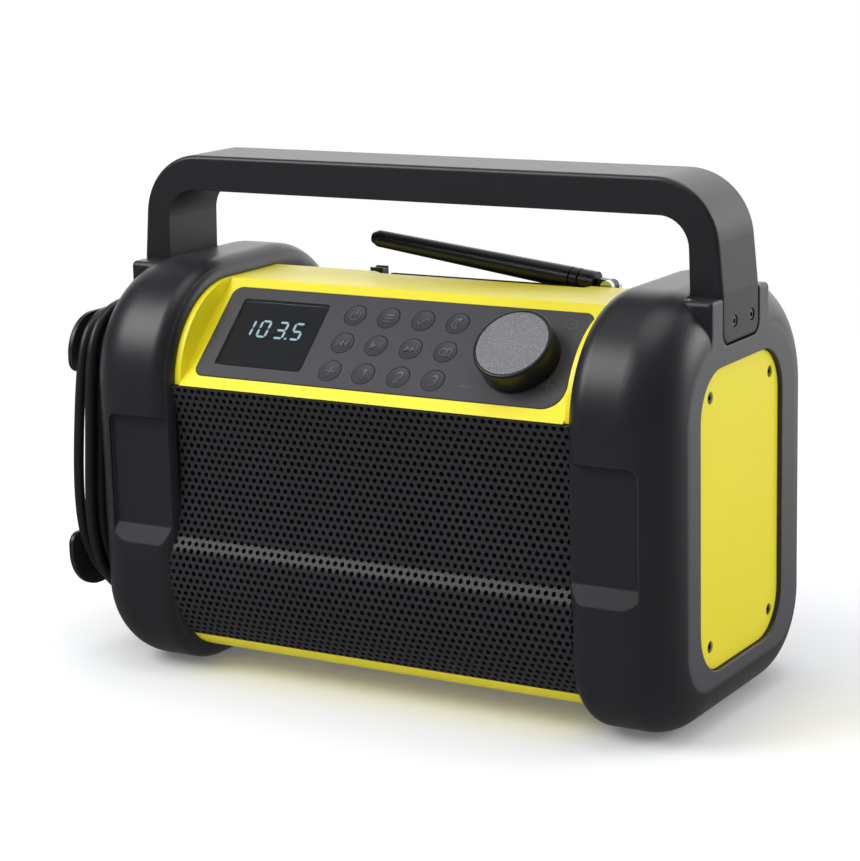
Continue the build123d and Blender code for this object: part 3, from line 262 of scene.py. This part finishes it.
looks = {
    # injection-moulded ABS, satin: strong even yellow, pale where light grazes it
    "yellowAbs": {"dark": "EBDB12", "light": "F1E318", "speckWearAndHighlight": "FFF68A", "driftMm": 60, "grainMm": 0.55,
                  "grainDepthMm": 0.012, "rough": 0.38, "ior": 1.53, "edgeMm": 0.5, "edgeWearAndHighlight": 0.35},
    # soft-touch over-moulding, spark-eroded: matte dark grey with a broad soft sheen; its grain
    # is drawn at twice its size so that it shows; its much paler edges are a painted highlight
    "softTouchGuard": {"dark": "1C1D20", "light": "222327", "speckWearAndHighlight": "4E4F53", "driftMm": 45, "grainMm": 0.7,
                       "grainDepthMm": 0.04, "rough": 0.36, "ior": 1.5, "edgeMm": 1.1, "edgeWearAndHighlight": 0.5},
    # dark grey ABS, satin: a shade smoother than the guards
    "darkAbs": {"dark": "1D1E21", "light": "222327", "speckWearAndHighlight": "4C4D50", "driftMm": 50, "grainMm": 0.6,
                "grainDepthMm": 0.025, "rough": 0.38, "ior": 1.5, "edgeMm": 0.5, "edgeWearAndHighlight": 0.25},
    # powder coat on pressed steel: satin black, holes' rims catch the light
    "powderCoatedSteel": {"dark": "232427", "light": "292A2D", "speckWearAndHighlight": "5A5B5D", "driftMm": 40, "grainMm": 0.5,
                          "grainDepthMm": 0.015, "rough": 0.36, "ior": 1.5},
    # moulded black ABS with a fine sparkle grain: grey-black and matte
    "speckledPanel": {"dark": "323337", "light": "37383C", "speckWearAndHighlight": "6E6E74", "driftMm": 30, "grainMm": 0.45,
                      "grainDepthMm": 0.02, "rough": 0.55, "ior": 1.5, "speckle": 0.5, "edgeMm": 0.25, "edgeWearAndHighlight": 0.2},
    # silicone key caps: the panel's grey, a little darker and softer
    "siliconeKey": {"dark": "303034", "light": "36363A", "speckWearAndHighlight": "58585E", "driftMm": 9, "grainMm": 0.4,
                    "grainDepthMm": 0.015, "rough": 0.55, "ior": 1.43, "speckle": 0.3, "edgeMm": 0.25, "edgeWearAndHighlight": 0.1},
    # the raised signs on keys and panel: the same plastic, painted lighter with pale edges as a painted highlight
    # where light catches them
    "raisedSignPaintedHighlight": {"dark": "4A4A4F", "light": "525257", "speckWearAndHighlight": "8A8A90", "driftMm": 5, "grainMm": 0.4,
                   "grainDepthMm": 0.004, "rough": 0.35, "ior": 1.5, "edgeMm": 0.12, "edgeWearAndHighlight": 0.5},
    # closed-cell rubber: the black seal
    "cellRubber": {"dark": "0D0E0F", "light": "131415", "speckWearAndHighlight": "303133", "driftMm": 12, "grainMm": 0.5,
                   "grainDepthMm": 0.02, "rough": 0.7, "ior": 1.45},
    # polished black ABS: gloss with clear reflections
    "polishedAbs": {"dark": "0E0E10", "light": "131316", "speckWearAndHighlight": "3A3A3E", "driftMm": 20, "grainMm": 1.2,
                    "grainDepthMm": 0.004, "rough": 0.32, "ior": 1.53, "specular": 0.35, "edgeMm": 0.4, "edgeWearAndHighlight": 0.3},
    # grey metallic lacquer with coarse flakes: sparkles in the light
    "flakeLacquer": {"dark": "68686B", "light": "727275", "speckWearAndHighlight": "C8C8CC", "driftMm": 12, "grainMm": 0.42,
                     "grainDepthMm": 0.03, "rough": 0.42, "ior": 1.5, "speckle": 0.75, "metallic": 0.25,
                     "edgeMm": 0.3, "edgeWearAndHighlight": 0.4},
    # blackened steel, turned: dark grey metal, mid gloss
    "blackenedSteel": {"dark": "55565A", "light": "66676B", "speckWearAndHighlight": "A6A7AB", "driftMm": 3, "grainMm": 0.3,
                       "grainDepthMm": 0.004, "rough": 0.34, "ior": 1.5, "metallic": 1.0,
                       "edgeMm": 0.15, "edgeWearAndHighlight": 0.6},
    # chrome plate on brass: bright mirror with faint handling marks
    "chromePlate": {"dark": "C6C8CB", "light": "D6D8DA", "speckWearAndHighlight": "F2F2F4", "driftMm": 4, "grainMm": 0.8,
                    "grainDepthMm": 0.001, "rough": 0.12, "ior": 1.5, "metallic": 1.0},
    # black polyamide sleeve of the antenna: deep black, half gloss
    "antennaSleeve": {"dark": "101113", "light": "151618", "speckWearAndHighlight": "3C3D40", "driftMm": 25, "grainMm": 0.6,
                      "grainDepthMm": 0.008, "rough": 0.33, "ior": 1.53, "edgeMm": 0.3, "edgeWearAndHighlight": 0.35},
    # soft PVC sheath: black with a dull oily gloss, slightly uneven
    "pvcSheath": {"dark": "141517", "light": "1B1C1F", "speckWearAndHighlight": "3E3F42", "driftMm": 14, "grainMm": 0.9,
                  "grainDepthMm": 0.03, "rough": 0.40, "ior": 1.53, "speckle": 0.12},
    # moulded silicone of mat and gasket: smoky grey, soft
    "greySilicone": {"dark": "6E6F72", "light": "7B7C7F", "speckWearAndHighlight": "9A9B9E", "driftMm": 15, "grainMm": 0.6,
                     "grainDepthMm": 0.01, "rough": 0.55, "ior": 1.41},
    # glass-epoxy board under green solder resist: semi-gloss green
    "solderMask": {"dark": "0F4A26", "light": "165A30", "speckWearAndHighlight": "B8A96A", "driftMm": 8, "grainMm": 0.8,
                   "grainDepthMm": 0.01, "rough": 0.30, "ior": 1.55, "edgeMm": 0.2, "edgeWearAndHighlight": 0.5},
    # pressed steel basket, black paint
    "basketPaint": {"dark": "1B1C1D", "light": "232425", "speckWearAndHighlight": "505153", "driftMm": 20, "grainMm": 0.7,
                    "grainDepthMm": 0.01, "rough": 0.38, "ior": 1.5, "edgeMm": 0.3, "edgeWearAndHighlight": 0.3},
    # coated pulp cone: dull black felted paper
    "conePaper": {"dark": "121213", "light": "19191B", "speckWearAndHighlight": "38383A", "driftMm": 6, "grainMm": 0.5,
                  "grainDepthMm": 0.05, "rough": 0.85, "ior": 1.45},
    # sintered ferrite between plated plates: dark, slightly metallic
    "ferrite": {"dark": "2A2B2D", "light": "37383A", "speckWearAndHighlight": "7A7B7D", "driftMm": 10, "grainMm": 0.5,
                "grainDepthMm": 0.02, "rough": 0.5, "ior": 1.5, "metallic": 0.6},
    # shrink-wrapped cell: plain blue-grey film, glossy
    "cellFilm": {"dark": "3C4450", "light": "48515E", "speckWearAndHighlight": "8A919C", "driftMm": 30, "grainMm": 1.0,
                 "grainDepthMm": 0.004, "rough": 0.25, "ior": 1.5},
}
made = {name: mouldedPlastic(name, look) for name, look in looks.items()}


def blackenInside(material, low, high):
    # dull black inside a box of radio millimetres, the space behind the grille
    tree = material.node_tree
    shader = next(node for node in tree.nodes if node.type == "BSDF_PRINCIPLED")
    source = shader.inputs["Base Color"].links[0].from_socket
    where = addNode(tree, "ShaderNodeTexCoord").outputs["Object"]
    axes = addNode(tree, "ShaderNodeSeparateXYZ", links={0: where}).outputs
    inside = None
    for axis, shift in (("X", middleX), ("Z", 0.0)):
        near, far = low["XYZ".index(axis)] + shift, high["XYZ".index(axis)] + shift
        part = addNode(tree, "ShaderNodeMath", {"operation": "COMPARE", 1: (near + far) / 2 * mm,
                       2: (far - near) / 2 * mm}, {0: axes[axis]}).outputs[0]
        inside = part if inside is None else addNode(
            tree, "ShaderNodeMath", {"operation": "MULTIPLY"}, {0: inside, 1: part}).outputs[0]
    mixed = addNode(tree, "ShaderNodeMix", {"data_type": "RGBA", 7: linear("050506")}, {0: inside, 6: source})
    tree.links.new(mixed.outputs[2], shader.inputs["Base Color"])


housingPlastic = mouldedPlastic("yellowAbsHousing", looks["yellowAbs"])
# the housing is coloured dull black in this box behind the grille
blackBehindGrille = {"low": (-102.6, -80, 20.2), "high": (102.6, 20, 139.3)}  # radio millimetres
blackenInside(housingPlastic, blackBehindGrille["low"], blackBehindGrille["high"])


def paintEndSheen(material, start, full, hexCode):
    # painted sheen: the guards' end faces are painted paler, standing in for the white backdrop's reflection at
    # grazing angles: share rises from start to full in |X|
    tree = material.node_tree
    shader = next(node for node in tree.nodes if node.type == "BSDF_PRINCIPLED")
    source = shader.inputs["Base Color"].links[0].from_socket
    where = addNode(tree, "ShaderNodeTexCoord").outputs["Object"]
    acrossX = addNode(tree, "ShaderNodeSeparateXYZ", links={0: where}).outputs["X"]
    offset = addNode(tree, "ShaderNodeMath", {"operation": "SUBTRACT", 1: middleX * mm}, {0: acrossX}).outputs[0]
    away = addNode(tree, "ShaderNodeMath", {"operation": "ABSOLUTE"}, {0: offset}).outputs[0]
    share = addNode(tree, "ShaderNodeMapRange", {"From Min": start * mm, "From Max": full * mm},
                    {"Value": away}).outputs[0]
    mixed = addNode(tree, "ShaderNodeMix", {"data_type": "RGBA", 7: linear(hexCode)}, {0: share, 6: source})
    tree.links.new(mixed.outputs[2], shader.inputs["Base Color"])


# the guards' end faces get a painted reflection: a paler grey that stands in for the backdrop's sheen
guardPlastic = mouldedPlastic("softTouchGuardEndSheen", looks["softTouchGuard"])
endSheenBand = {"start": 150.2, "full": 150.42, "colour": "46474B"}  # |X| in radio millimetres
paintEndSheen(guardPlastic, endSheenBand["start"], endSheenBand["full"], endSheenBand["colour"])


def smokedAcrylic(name):
    # cast acrylic, smoked: a clear gloss window that darkens what lies behind it
    material, tree = newMaterial(name)
    where = addNode(tree, "ShaderNodeTexCoord").outputs["Object"]
    ripple = addNode(tree, "ShaderNodeTexNoise", {"Scale": 1000 / 25, "Detail": 1.0},
                     {"Vector": where}).outputs["Fac"]
    bump = addNode(tree, "ShaderNodeBump", {"Strength": 1.0, "Distance": 0.02 * mm}, {"Height": ripple})
    shader = addNode(tree, "ShaderNodeBsdfPrincipled", {
        "Base Color": linear("A9ACB0"), "Roughness": 0.03, "IOR": 1.49, "Transmission Weight": 1.0},
        {"Normal": bump.outputs[0]})
    addNode(tree, "ShaderNodeOutputMaterial", links={"Surface": shader.outputs[0]})
    return material


def litSegment(name):
    # backlit liquid crystal: pale cyan, brighter in the middle of the display
    material, tree = newMaterial(name)
    where = addNode(tree, "ShaderNodeTexCoord").outputs["Object"]
    flicker = addNode(tree, "ShaderNodeTexNoise", {"Scale": 1000 / 9, "Detail": 1.0},
                      {"Vector": where}).outputs["Fac"]
    tone = addNode(tree, "ShaderNodeMix", {"data_type": "RGBA", 6: linear("A9E4EA"), 7: linear("E4FBFD")},
                   {0: flicker}).outputs[2]
    glow = addNode(tree, "ShaderNodeEmission", {"Strength": 1.7}, {"Color": tone})
    addNode(tree, "ShaderNodeOutputMaterial", links={"Surface": glow.outputs[0]})
    return material


made["smokedAcrylic"] = smokedAcrylic("smokedAcrylic")
made["litSegment"] = litSegment("litSegment")
made["blackMask"] = mouldedPlastic("blackMask", dict(looks["polishedAbs"], dark="060607", light="0A0A0C", rough=0.5,
                                                     grainDepthMm=0.0005, edgeMm=None))
slotFinish = {
    "yellow_abs": "yellowAbs", "guard_rubber": "softTouchGuard", "dark_abs": "darkAbs",
    "painted_steel_mesh": "powderCoatedSteel", "panel_black": "speckledPanel", "display_lens": "smokedAcrylic",
    "key_rubber": "siliconeKey", "knob_black": "polishedAbs", "knob_cap": "flakeLacquer",
    "screw_steel": "blackenedSteel", "antenna_chrome": "chromePlate", "antenna_black": "antennaSleeve",
    "silicone": "greySilicone", "board_green": "solderMask", "speaker_basket": "basketPaint",
    "speaker_paper": "conePaper", "magnet_ferrite": "ferrite", "cell_jacket": "cellFilm",
    "cord_rubber": "pvcSheath",
}
ownFinish = {"front_housing": housingPlastic, "left_guard": guardPlastic, "right_guard": guardPlastic,
             "display_module": made["blackMask"],
             "housing_seal": made["cellRubber"]}
for part in frame["record"]["subparts"]:
    node = nodes[part["node"]]
    finish = ownFinish.get(part["node"]) or made[slotFinish[part["material_slot"]]]
    node.data.materials.clear()
    node.data.materials.append(finish)
print("materials made:", len(made), "and given to the nodes")


# ---- mains cord: one spline from the gland, round both hooks, to the plug

cordSet = {
    "diameter": 5.0, "length": 1815.0,
    "lead": [(-154.2, 33.0, 122.0), (-154.2, 40.6, 122.1), (-154.2, 48.0, 124.4), (-154.2, 53.4, 130.0),
             (-154.2, 55.8, 137.6)],
    "tail": [(-163.8, 52.6, 42.4), (-163.3, 55.0, 49.6), (-163.2, 53.8, 57.0), (-163.2, 49.3, 63.3),
             (-163.2, 44.8, 68.8), (-163.2, 42.6, 75.2), (-163.2, 42.5, 80.0)],
    # one turn as (y, z): over the upper hook, down the front, under the lower hook, up the rear
    "turn": [(55.8, 145.8), (53.2, 154.2), (47.2, 160.1), (38.6, 163.3), (20, 163.5), (0, 163.5), (-20, 163.5),
             (-38.6, 163.2), (-47.6, 159.2), (-53.4, 151.6), (-56.4, 141), (-59.2, 126), (-61.8, 106), (-63.5, 87),
             (-63.3, 71.5), (-61.4, 60), (-58, 50.6), (-53.2, 42.5), (-46.4, 36.3), (-36.6, 33.9), (-18, 33.9),
             (0, 33.9), (18, 33.9), (36.6, 33.9), (46.4, 36.5), (53, 43), (57.6, 52), (60.5, 64), (61.8, 80),
             (61.6, 98), (60, 116), (57.8, 132)],
    "turns": 3.75,
    # where a strand lies as the turns go by: turn number, X, how far outside the turn's line
    "lay": [(0, -154.4, 0), (0.6, -154.4, 0), (0.66, -155, 0.1), (0.72, -156.4, 0.2), (0.8, -158, 0.3),
            (0.88, -159, 0.3), (0.95, -159.8, 0.2), (1.0, -159.9, 0.1), (1.6, -159.9, 0.1), (1.66, -160, 1.8),
            (1.72, -160.3, 4), (1.8, -160, 5.8), (1.88, -158.6, 5.6), (1.95, -157.5, 5), (2.0, -157.1, 4.8),
            (2.55, -157.1, 4.8), (2.6, -157.9, 6.4), (2.66, -159.6, 8), (2.72, -162.4, 8.6), (2.8, -165, 6.6),
            (2.88, -165.4, 3.2), (2.95, -165.4, 0.8), (3.0, -165.4, 0.3), (3.6, -165.4, 0.3), (3.75, -164.6, 0.3)],
    "slack": 2.8,           # how much flatter the inner strands hang in front than the last one
    "slackTurns": 2.9,
}


def cordPoints(c):
    # turn point i: outline(i) + outward normal * out(t) along the outline, X(t) across it, with
    # t = i / points per turn; inner strands are moved in by slack * sin(height between the hooks)
    outline = np.array(c["turn"], float)
    along = np.roll(outline, -1, axis=0) - np.roll(outline, 1, axis=0)
    normal = np.stack([along[:, 1], -along[:, 0]], axis=1)
    normal /= np.linalg.norm(normal, axis=1)[:, None]
    count = len(outline)
    index = np.arange(int(round(c["turns"] * count)) + 1)
    t = index / count
    lay = np.array(c["lay"], float)
    x = np.interp(t, lay[:, 0], lay[:, 1])
    out = np.interp(t, lay[:, 0], lay[:, 2])
    low, high = outline[:, 1].min(), outline[:, 1].max()
    height = (outline[index % count, 1] - low) / (high - low)
    inFront = outline[index % count, 0] < -40
    out = out - c["slack"] * np.sin(np.pi * height) ** 2 * inFront * (t < c["slackTurns"])
    yz = outline[index % count] + normal[index % count] * out[:, None]
    coil = np.column_stack([x, yz])
    return np.vstack([c["lead"], coil, c["tail"]])


def makeCord(c):
    points = toRow(cordPoints(c))
    curve = bpy.data.curves.new("mains_cord", "CURVE")
    curve.dimensions = "3D"
    spline = curve.splines.new("NURBS")
    spline.points.add(len(points) - 1)
    spline.points.foreach_set("co", np.column_stack([points, np.ones(len(points))]).ravel())
    spline.order_u = 3
    spline.use_endpoint_u = True
    curve.resolution_u = 5
    curve.bevel_depth = c["diameter"] / 2 * mm
    curve.bevel_resolution = 3
    curve.use_fill_caps = True
    curve.materials.append(made["pvcSheath"])
    cord = bpy.data.objects.new("mains_cord", curve)
    bpy.context.scene.collection.objects.link(cord)
    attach(cord, "case")
    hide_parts("cord_winding", "cord_lead", "cord_tail")
    return cord


mainsCord = makeCord(cordSet)
print("mains cord wound,", cordSet["turns"], "turns")


# ---- speaker grille: a perforated plate bent along the front's profile

grilleSet = {
    "pitch": 3.8, "rowPitch": 3.29, "hole": 2.3, "thickness": 1.0, "columns": 55,
    # the profile as (y, z): slope, shallow hollow, step, curl under
    "slope": [(-70.3, 139.2), (-67.6, 126.5)],
    "hollow": [(-67.6, 126.5), (-66.8, 110.0), (-70.6, 68.2)],
    "step": [(-70.6, 68.2), (-73.9, 61.4)],
    "curl": [(-73.9, 61.4), (-73.0, 38.0), (-63.0, 20.3)],
    "rowsAtStep": (21.6, 23.8), "rows": 37,
}


def arcThrough(a, b, c, count):
    # points of the circle through a, b and c, from a to c: centre from the two chords' bisectors
    a, b, c = (np.array(p, float) for p in (a, b, c))
    system = 2 * np.array([b - a, c - b])
    centre = np.linalg.solve(system, [b @ b - a @ a, c @ c - b @ b])
    angles = np.unwrap([math.atan2(*(p - centre)[::-1]) for p in (a, b, c)])
    turn = np.linspace(angles[0], angles[2], count)
    return centre + np.linalg.norm(a - centre) * np.stack([np.cos(turn), np.sin(turn)], axis=1)


def grilleProfile(g):
    # rows to (y, z): each stretch is laid out by its length between the rows where it starts and ends
    upper = np.vstack([g["slope"][:1], arcThrough(*g["hollow"], 40)])
    stretches = [upper, np.array(g["step"], float), arcThrough(*g["curl"], 40)]
    limits = [0.0, *g["rowsAtStep"], float(g["rows"])]
    rows, points = [], []
    for stretch, first, last in zip(stretches, limits, limits[1:]):
        run = np.concatenate([[0], np.cumsum(np.linalg.norm(np.diff(stretch, axis=0), axis=1))])
        rows.append(first + (last - first) * run / run[-1])
        points.append(stretch)
    return np.concatenate(rows), np.vstack(points)


def makeGrille(g):
    # staggered cells, each a ring of 12 quads from a rectangle's rim (u = X, v = row) to a hole's rim:
    # hole point k = centre + hole / 2 * (cos, sin)(k * 30 degrees); odd rows are half a pitch across
    half = g["pitch"] / 2
    rim = np.array([(1, 0), (1, 1), (0.5, 1), (0, 1), (-0.5, 1), (-1, 1), (-1, 0), (-1, -1), (-0.5, -1), (0, -1),
                    (0.5, -1), (1, -1)]) * (half, 0.5)
    turn = np.arange(12) * math.pi / 6
    radius = g["hole"] / 2
    hole = np.stack([radius * np.cos(turn), radius / g["rowPitch"] * np.sin(turn)], axis=1)
    centres = []
    for row in range(g["rows"]):
        count = g["columns"] + row % 2
        across = (np.arange(count) - (count - 1) / 2) * g["pitch"]
        centres.append(np.stack([across, np.full(count, row + 0.5)], axis=1))
    centres = np.vstack(centres)
    cells = len(centres)
    flat = (centres[:, None, :] + np.vstack([rim, hole])[None]).reshape(-1, 2)
    k = np.arange(12)
    ring = np.stack([k, (k + 1) % 12, 12 + (k + 1) % 12, 12 + k], axis=1)
    faces = (ring[None] + 24 * np.arange(cells)[:, None, None]).reshape(-1, 4)
    key = np.round(flat * 1000).astype(np.int64)
    _, first, same = np.unique(key, axis=0, return_index=True, return_inverse=True)
    flat, faces = flat[first], same.reshape(-1)[faces]
    rowAt, profile = grilleProfile(g)
    y = np.interp(flat[:, 1], rowAt, profile[:, 0])
    z = np.interp(flat[:, 1], rowAt, profile[:, 1])
    points = np.column_stack([flat[:, 0], y, z])
    grille = addPiece("perforated_grille", points, faces, made["powderCoatedSteel"], "case")
    wall = grille.modifiers.new("thickness", "SOLIDIFY")
    wall.thickness, wall.offset, wall.use_even_offset = g["thickness"] * mm, -1.0, False
    bake(grille, math.radians(8))
    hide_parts("speaker_grille")
    return grille


def bake(piece, sharpAngle):
    # applies the piece's modifiers and shades it smooth up to an angle
    mesh = bpy.data.meshes.new_from_object(piece.evaluated_get(bpy.context.evaluated_depsgraph_get()))
    piece.modifiers.clear()
    piece.data = mesh
    mesh.shade_smooth()
    mesh.set_sharp_from_angle(angle=sharpAngle)


grille = makeGrille(grilleSet)
print("grille perforated,", len(grille.data.polygons), "faces")


# ---- marks on the panel: flat strokes and plates set on the sloping face

panelSet = {"y": -65.9, "z": 144.3, "slope": 43.34}


def onPanel(x, s, n):
    # panel millimetres to radio millimetres: s runs up the slope, n stands off its face
    a = math.radians(panelSet["slope"])
    x, s, n = np.broadcast_arrays(np.asarray(x, float), s, n)
    y = panelSet["y"] + s * math.cos(a) - n * math.sin(a)
    return np.stack([x, y, panelSet["z"] + s * math.sin(a) + n * math.cos(a)], axis=-1)


def level(points):
    return 0.0


def prism(outline, low, high, ground=level):
    # an upright prism on the panel: the outline at two heights, a wall between, both ends closed
    outline = np.asarray(outline, float)
    count = len(outline)
    points = np.vstack([onPanel(outline[:, 0], outline[:, 1], ground(outline) + h) for h in (low, high)])
    k = np.arange(count)
    walls = np.stack([k, (k + 1) % count, count + (k + 1) % count, count + k], axis=1)
    return points, [list(w) for w in walls] + [list(count + k), list(k[::-1])]


def ribbon(path, width, closed=False):
    # the two sides of a stroke: path -/+ normal * width / 2, normals from neighbouring points
    path = np.asarray(path, float)
    if closed:
        along = np.roll(path, -1, axis=0) - np.roll(path, 1, axis=0)
    else:
        along = np.gradient(path, axis=0)
    normal = np.stack([-along[:, 1], along[:, 0]], axis=1)
    normal *= width / 2 / np.linalg.norm(normal, axis=1)[:, None]
    return path + normal, path - normal


def strokePrism(path, width, low, high, closed=False, ground=level):
    # a stroke with four edges along it: left and right side, low and high, capped where it is open
    left, right = ribbon(path, width, closed)
    count = len(left)
    corners = [(left, high), (left, low), (right, low), (right, high)]
    points = np.vstack([onPanel(side[:, 0], side[:, 1], ground(side) + h) for side, h in corners])
    k = np.arange(count if closed else count - 1)
    after = (k + 1) % count
    faces = []
    for edge in range(4):
        here, there = edge * count, (edge + 1) % 4 * count
        faces += np.stack([here + k, here + after, there + after, there + k], axis=1).tolist()
    if not closed:
        faces += [[0, count, 2 * count, 3 * count], [count * 4 - 1, count * 3 - 1, count * 2 - 1, count - 1]]
    return points, faces


def joined(parts):
    points, faces, shift = [], [], 0
    for partPoints, partFaces in parts:
        points.append(partPoints)
        faces += [[shift + i for i in face] for face in partFaces]
        shift += len(partPoints)
    return np.vstack(points), faces


def arc(x, s, radius, start, end, count=18):
    # circle points from start to end in degrees
    turn = np.radians(np.linspace(start, end, count))
    return np.stack([x + radius * np.cos(turn), s + radius * np.sin(turn)], axis=1)


def split(path, pieces=4):
    # points between each pair of a path's points, so that a straight stroke can follow a curved top
    path = np.asarray(path, float)
    t = np.arange(pieces)[:, None] / pieces
    return np.vstack([a + (b - a) * t for a, b in zip(path, path[1:])] + [path[-1:]])


wave = np.linspace(-2.8, 2.8, 25)
markSet = {
    "strokeWidth": 0.62, "rise": 0.20, "slant": 0.16,
    "sunk": -0.15, "plateExtra": 0.1,     # how deep signs start, and how much higher plates stand
    "panelWidth": 0.5, "panelRise": 0.14,  # the signs beside the knob
    "keyTop": 0.2, "dish": 0.6, "dishRadius": 5.0,  # the key's hollow: top - dish * (1 - (r / radius) squared)
    "columns": (-23.3, -5.8, 12.2, 29.9), "rows": (39.9, 24.4, 8.9),
    # each sign: open strokes, closed strokes and filled plates, in millimetres about the key's middle
    "signs": {
        "key_power": ([arc(0, 0, 2.5, 125, 415), [(0, 0.4), (0, 3.1)]], [], []),
        "key_mode": ([[(-2.4, 1.8), (2.4, 1.8)], [(-2.4, 0), (2.4, 0)], [(-2.4, -1.8), (2.4, -1.8)]], [], []),
        "key_bass": ([np.stack([wave, 1.5 * np.sin(wave * math.pi / 2.8)], axis=1)], [], []),
        "key_snooze": ([arc(0, 0, 2.6, 70, 290), arc(1.6, 0, 2.55, 105, 255)], [], []),
        "key_previous": ([[(-2.8, -1.8), (-2.8, 1.8)]], [], [[(-2.2, 0), (0.2, -1.8), (0.2, 1.8)],
                         [(0.4, 0), (2.8, -1.8), (2.8, 1.8)]]),
        "key_play": ([[(1.4, -1.9), (1.4, 1.9)], [(2.8, -1.9), (2.8, 1.9)]], [],
                     [[(-2.8, -2.0), (0.5, 0), (-2.8, 2.0)]]),
        "key_next": ([[(2.8, -1.8), (2.8, 1.8)]], [], [[(2.2, 0), (-0.2, 1.8), (-0.2, -1.8)],
                     [(-0.4, 0), (-2.8, 1.8), (-2.8, -1.8)]]),
        "key_stereo": ([], [arc(-1.1, 0, 1.8, 0, 340), arc(1.1, 0, 1.8, 0, 340)], []),
        "key_preset": ([[(-2.4, 0), (2.4, 0)], [(0, 0.35), (0, 2.4)], [(0, -2.4), (0, -0.35)]], [], []),
        "key_1": ([[(-1.0, 1.7), (0.2, 2.6)], [(0.5, 2.7), (0.5, -2.6)]], [], []),
        "key_2": ([np.vstack([arc(0, 1.15, 1.5, 165, -30), [(-0.4, -1.2), (-1.6, -2.5)]]),
                   [(-1.6, -2.5), (1.8, -2.5)]], [], []),
        "key_3": ([arc(0, 1.3, 1.3, 150, -80), arc(0, -1.25, 1.45, 80, -150)], [], []),
    },
    # beside the knob: less, more and a plain dial
    "panelStrokes": [[(43.6, 7.1), (49.4, 7.1)], [(82.4, 12.1), (88.0, 12.1)], [(85.2, 12.5), (85.2, 15.0)],
                     [(85.2, 9.2), (85.2, 11.7)], arc(85.3, 44.0, 2.4, 150, 470), [(84.2, 44.9), (85.2, 43.6)],
                     [(85.2, 43.6), (87.2, 46.2)]],
}


def makeMarks(m):
    width, low, high = m["strokeWidth"], m["sunk"], m["rise"]
    names = iter(m["signs"].items())
    for s in m["rows"]:
        for x in m["columns"]:
            name, (opened, closed, plates) = next(names)
            lean = np.array([[1, 0], [m["slant"], 1]])
            place = lambda path: np.asarray(path, float) @ lean + (x, s)

            def hollow(at):
                out = np.sum((at - (x, s)) ** 2, axis=1) / m["dishRadius"] ** 2
                return m["keyTop"] - m["dish"] * (1 - np.minimum(out, 1.0))

            parts = [strokePrism(place(split(path)), width, low, high, False, hollow) for path in opened]
            parts += [strokePrism(place(path), width, low, high, True, hollow) for path in closed]
            parts += [prism(place(path), low, high + m["plateExtra"], hollow) for path in plates]
            points, faces = joined(parts)
            addPiece(name + "_mark", points, faces, made["raisedSignPaintedHighlight"], name + "_body")
    parts = [strokePrism(path, m["panelWidth"], low, m["panelRise"]) for path in m["panelStrokes"]]
    points, faces = joined(parts)
    addPiece("panel_marks", points, faces, made["raisedSignPaintedHighlight"], "case")


makeMarks(markSet)
print("key and panel marks set")


# ---- display: seven-segment figures under the window

displaySet = {
    "text": "103.5", "starts": (-79.4, -71.0, -61.6, -55.4, -52.8), "low": 24.6, "width": 4.6, "height": 8.7,
    "thick": 1.05, "gap": 0.26, "slant": 0.03, "depth": (-1.92, -1.76), "dot": 1.0, "dotDrop": 0.5,
    # segments lit for each figure: top, upper right, lower right, bottom, lower left, upper left, middle
    "lit": {"0": "abcdef", "1": "bc", "3": "abcdg", "5": "acdfg"},
}


def makeDigits(d):
    # each segment is a bar with pointed ends: from p to q, thick wide, drawn in by gap
    w, h, t, gap = d["width"], d["height"], d["thick"], d["gap"]
    corners = {"a": ((0, h), (w, h)), "b": ((w, h), (w, h / 2)), "c": ((w, h / 2), (w, 0)), "d": ((0, 0), (w, 0)),
               "e": ((0, h / 2), (0, 0)), "f": ((0, h), (0, h / 2)), "g": ((0, h / 2), (w, h / 2))}
    parts = []
    for figure, start in zip(d["text"], d["starts"]):
        if figure == ".":
            dot = d["dot"] * np.array([(0, 0), (1, 0), (1, 1), (0, 1)])
            parts.append(prism(dot + (start, d["low"] - d["dotDrop"]), *d["depth"]))
            continue
        for name in d["lit"][figure]:
            p, q = (np.array(v, float) for v in corners[name])
            along = (q - p) / np.linalg.norm(q - p)
            across = np.array([-along[1], along[0]]) * t / 2
            p, q = p + along * gap, q - along * gap
            bar = np.array([p, p + along * t / 2 - across, q - along * t / 2 - across, q,
                            q - along * t / 2 + across, p + along * t / 2 + across])
            bar[:, 0] += d["slant"] * bar[:, 1]
            parts.append(prism(bar + (start, d["low"]), *d["depth"]))
    points, faces = joined(parts)
    addPiece("display_digits", points, faces, made["litSegment"], "case")


makeDigits(displaySet)
print("display figures set")
